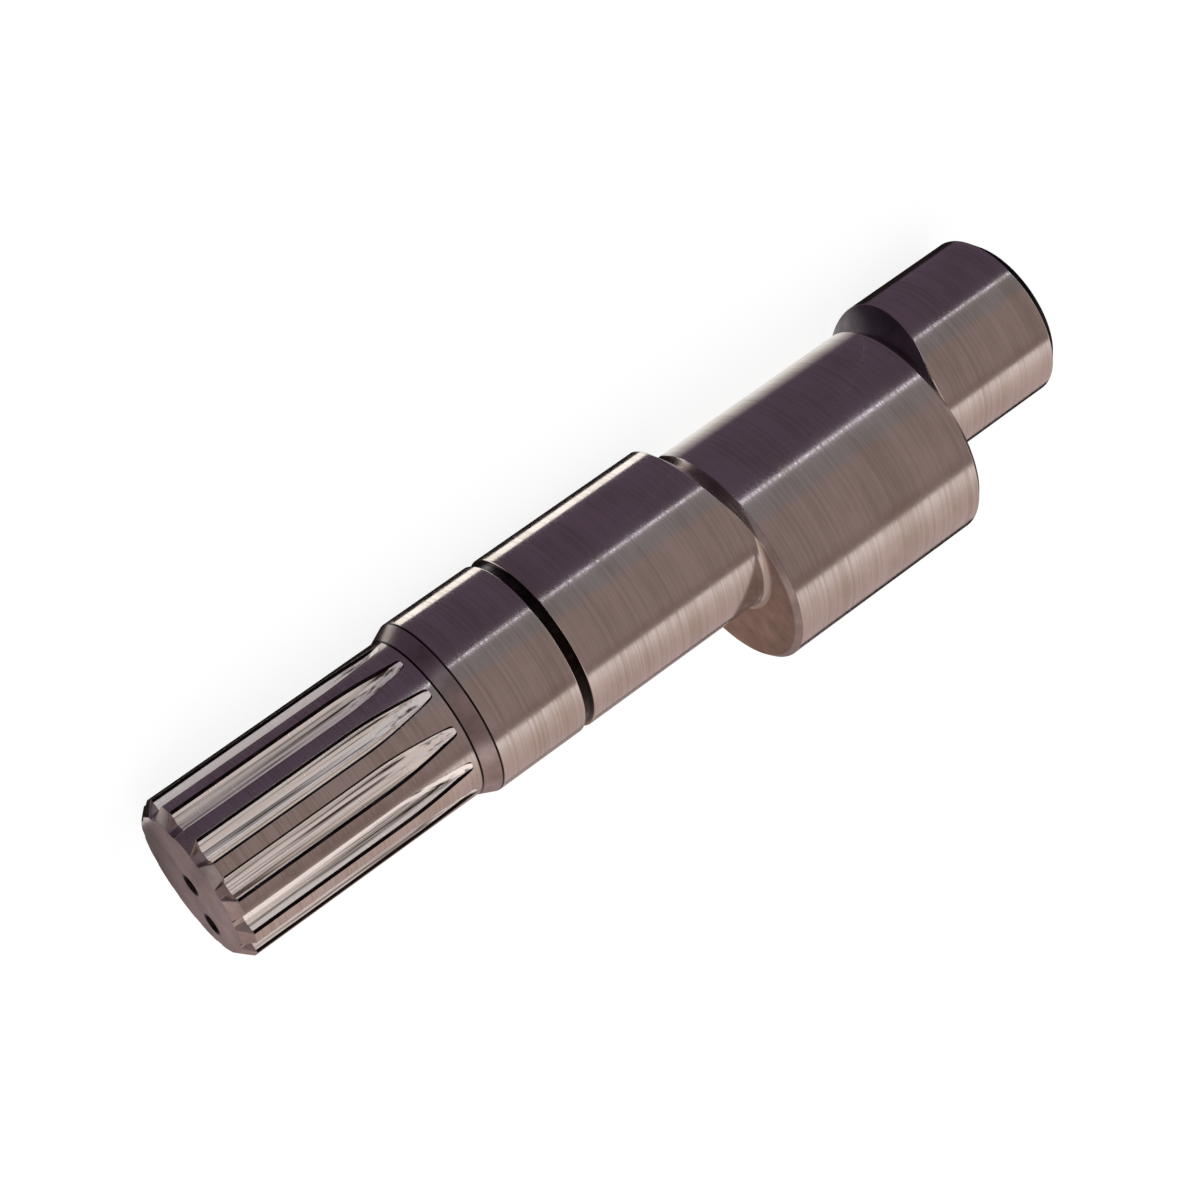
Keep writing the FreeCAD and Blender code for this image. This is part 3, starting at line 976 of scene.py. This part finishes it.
def stage_mesh(name: str, points_mm: list[Triple], faces: list[tuple[int, ...]],
               material: bpy.types.Material) -> bpy.types.Object:
    """Make an object of the stage from points in millimetres."""
    mesh = bpy.data.meshes.new(name)
    mesh.from_pydata([tuple(c * MM for c in point) for point in points_mm], [], faces)
    mesh.materials.append(material)
    thing = bpy.data.objects.new(name, mesh)
    bpy.context.scene.collection.objects.link(thing)
    return thing


def only_in_metal(thing: bpy.types.Object) -> None:
    """Hide an object of the stage from the camera, from the floor's light and from shadows."""
    thing.visible_camera = thing.visible_diffuse = thing.visible_shadow = False


@dataclass(frozen=True)
class Card:
    """Level reflector over the floor, seen only in the metal, whose near edge may fade from white."""

    name: str
    x_mm: Pair
    y_mm: Pair
    colour: str
    strength: float = 1.0
    fade_mm: float = 0.01

    def build(self, height_mm: float) -> None:
        """Lay the card."""
        material = blank_material(self.name)
        tree = material.node_tree
        near = self.y_mm[0] * MM
        share = remap(tree, sideways(tree), (near, near + self.fade_mm * MM))
        emit(tree, mixed(tree, share, WHITE, self.colour), self.strength)
        (x0, x1), (y0, y1) = self.x_mm, self.y_mm
        corners = [(x0, y0, height_mm), (x1, y0, height_mm), (x1, y1, height_mm), (x0, y1, height_mm)]
        only_in_metal(stage_mesh(self.name, corners, [(0, 1, 2, 3)], material))


@dataclass(frozen=True)
class Underside:
    """What one length of the shaft sees of the floor straight below it.

    A painted contact shadow where it rests (a dark card for the floor's shade there), a light gap beside
    its widest line, then the dark card towards the camera. The gap's two sides are shares of the radius,
    out from below the length's axis.
    """

    name: str
    x_mm: Pair
    radius_mm: float
    axis_mm: float
    gap: Pair
    glow: float
    fade_mm: float
    # Colour of the card that paints the floor's contact shadow into the metal's reflection
    contact_shadow: str = "#241d1f"
    dark: str = "#625569"

    def cards(self, first_mm: float, last_mm: float) -> list[Card]:
        """Cards from the line where the shaft rests to the far edge of the dark card."""
        name, x = self.name, self.x_mm
        near, far = (self.axis_mm + share * self.radius_mm for share in self.gap)
        cards = []
        # Painted contact shadow: a dark card where the floor lies in the shaft's shade
        if near > first_mm:
            cards.append(Card(f"{name}_contact_shadow_card", x, (first_mm, near), self.contact_shadow))
        if far > near:
            cards.append(Card(f"{name}_gap_card", x, (max(near, first_mm), far), WHITE, self.glow))
        cards.append(Card(f"{name}_dark_card", x, (far, last_mm), self.dark, fade_mm=self.fade_mm))
        return cards


@dataclass
class Stage:
    """Pale floor, reflector cards, a soft half-round hood over the shaft and the room's light."""

    sizes: ShaftSizes = field(default_factory=ShaftSizes)
    reach_mm: float = 3000.0
    hood_mm: float = 900.0
    first_card_mm: float = 0.3
    far_card_mm: float = 340.0
    card_side_mm: float = 600.0
    card_lift_mm: float = 0.05
    card_step_mm: float = 0.01
    past_shoulder_mm: float = 4.0
    past_lobe_face_mm: float = 3.0
    floor_lit: float = 0.8
    floor_shaded: float = 0.16
    floor_glow: float = 0.88
    hood_steps: int = 64
    hood_glow: float = 1.25
    hood_stops: tuple[tuple[float, str], ...] = (
        (0.0, "#bcaaab"), (0.118, "#c6b5b3"), (0.219, "#d2c5c5"), (0.345, "#efe8ed"), (0.375, "#efe8ed"),
        (0.4, "#887778"), (0.46, "#887778"), (0.54, "#958789"), (0.93, "#958789"), (0.97, "#88868d"),
        (1.0, "#88868d"))

    @property
    def ground_mm(self) -> float:
        """Height of the ground, half the journal's diameter below the main axis."""
        return -self.sizes.journal_dia / 2

    def build(self) -> None:
        """Make the floor, the cards, the hood and the world."""
        self.floor()
        for number, card in enumerate(self.cards()):
            card.build(self.ground_mm + self.card_lift_mm + self.card_step_mm * number)
        self.hood()
        self.world()

    def floor(self) -> None:
        """Pale floor: white to the camera and to metal, apart from the shaft's own shadow."""
        material = blank_material("pale_floor")
        tree = material.node_tree
        rays = add_node(tree, "ShaderNodeLightPath").outputs
        seen = computed(tree, "MAXIMUM", rays["Is Camera Ray"], rays["Is Glossy Ray"])
        seen = computed(tree, "MAXIMUM", seen, rays["Is Transmission Ray"])
        plain, shaded = (add_node(tree, "ShaderNodeBsdfDiffuse", links={"Color": (grey, grey, grey, 1)})
                         for grey in (self.floor_lit, self.floor_shaded))
        glow = add_node(tree, "ShaderNodeEmission", links={"Strength": self.floor_glow})
        white = add_node(tree, "ShaderNodeAddShader", links={0: shaded.outputs[0], 1: glow.outputs[0]})
        mix = add_node(tree, "ShaderNodeMixShader", links={
            0: seen, 1: plain.outputs[0], 2: white.outputs[0]})
        add_node(tree, "ShaderNodeOutputMaterial", links={"Surface": mix.outputs[0]})
        reach, z = self.reach_mm, self.ground_mm
        corners = [(-reach, -reach, z), (reach, -reach, z), (reach, reach, z), (-reach, reach, z)]
        stage_mesh("floor", corners, [(0, 1, 2, 3)], material)

    def undersides(self) -> list[Underside]:
        """The shaft's lengths, with the light that each sees from below."""
        sizes, wide = self.sizes, self.card_side_mm
        lobe_y = -sizes.throw * math.cos(sizes.lean)
        marks = (-wide, sizes.shoulder_foot + self.past_shoulder_mm,
                 *(face + self.past_lobe_face_mm for face in (sizes.lobe_start, sizes.lobe_end)), wide)
        spline, journal, eccentric, end_journal = zip(marks, marks[1:])
        return [
            Underside("spline", spline, sizes.spline_dia / 2, 0.0, (0.63, 0.85), 1.0, 0.2),
            Underside("journal", journal, sizes.journal_dia / 2, 0.0, (0.63, 0.83), 1.7, 0.01),
            Underside("eccentric", eccentric, sizes.lobe_dia / 2, lobe_y, (0.0, 0.54), 1.0, 4.4),
            Underside("end_journal", end_journal, sizes.pin_dia / 2, 0.0, (0.66, 0.66), 1.0, 0.01),
        ]

    def cards(self) -> list[Card]:
        """Cards that give the metal its bands, each laid just over the one before."""
        length, lobe_start = self.sizes.length, self.sizes.lobe_start
        whole = (-3 * self.card_side_mm, 3 * self.card_side_mm)
        return [
            Card("back_card", whole, (-self.hood_mm, -24.0), "#ab9d9f"),
            *(card for underside in self.undersides()
              for card in underside.cards(self.first_card_mm, self.far_card_mm)),
            Card("horizon_card", whole, (self.far_card_mm, self.hood_mm), "#e6eaff", 3.0),
            Card("end_face_card", (-60.0, -0.5), (-150.0, -2.0), "#b2a1a3"),
            Card("end_face_dark_card", (-3.6, -0.4), (-60.0, -2.0), "#6a6064"),
            Card("eccentric_face_card", (-0.4, lobe_start - 2), (-90.0, -9.0), "#b1968a"),
            Card("far_end_card", (length + 1, self.card_side_mm), (-400.0, self.first_card_mm), "#1a1718"),
        ]

    def hood(self) -> None:
        """Half-round hood seen only in the metal, dim on the camera's side and light behind."""
        material = blank_material("soft_hood")
        tree = material.node_tree
        side = remap(tree, sideways(tree), (-self.hood_mm * MM, self.hood_mm * MM))
        ramp = add_node(tree, "ShaderNodeValToRGB", links={0: side})
        elements = ramp.color_ramp.elements
        for element, (position, colour) in zip(elements, (self.hood_stops[0], self.hood_stops[-1])):
            element.position, element.color = position, linear(colour)
        for position, colour in self.hood_stops[1:-1]:
            elements.new(position).color = linear(colour)
        emit(tree, ramp.outputs[0], self.hood_glow)
        turns, steps = np.linspace(0, math.pi, self.hood_steps), self.hood_steps
        points = [(x, self.hood_mm * math.cos(turn), self.ground_mm + self.hood_mm * math.sin(turn))
                  for x in (-self.reach_mm, self.reach_mm) for turn in turns]
        faces = [(i, i + 1, i + 1 + steps, i + steps) for i in range(steps - 1)]
        only_in_metal(stage_mesh("soft_hood", points, faces, material))

    def world(self) -> None:
        """Plain white room light."""
        world = bpy.data.worlds.new("room")
        world.use_nodes = True
        tree = world.node_tree
        tree.nodes.clear()
        background = add_node(tree, "ShaderNodeBackground", links={"Color": (1, 1, 1, 1), "Strength": 1.0})
        add_node(tree, "ShaderNodeOutputWorld", links={"Surface": background.outputs[0]})
        bpy.context.scene.world = world


def main() -> None:
    """Build the stage, the camera and the shaft."""
    logging.basicConfig(level=logging.INFO)
    bpy.context.scene.view_settings.view_transform = "Standard"
    Stage().build()
    Camera().build()
    PumpShaft().build()
    log.info("shaft dressed")


if __name__ == "__main__":
    main()
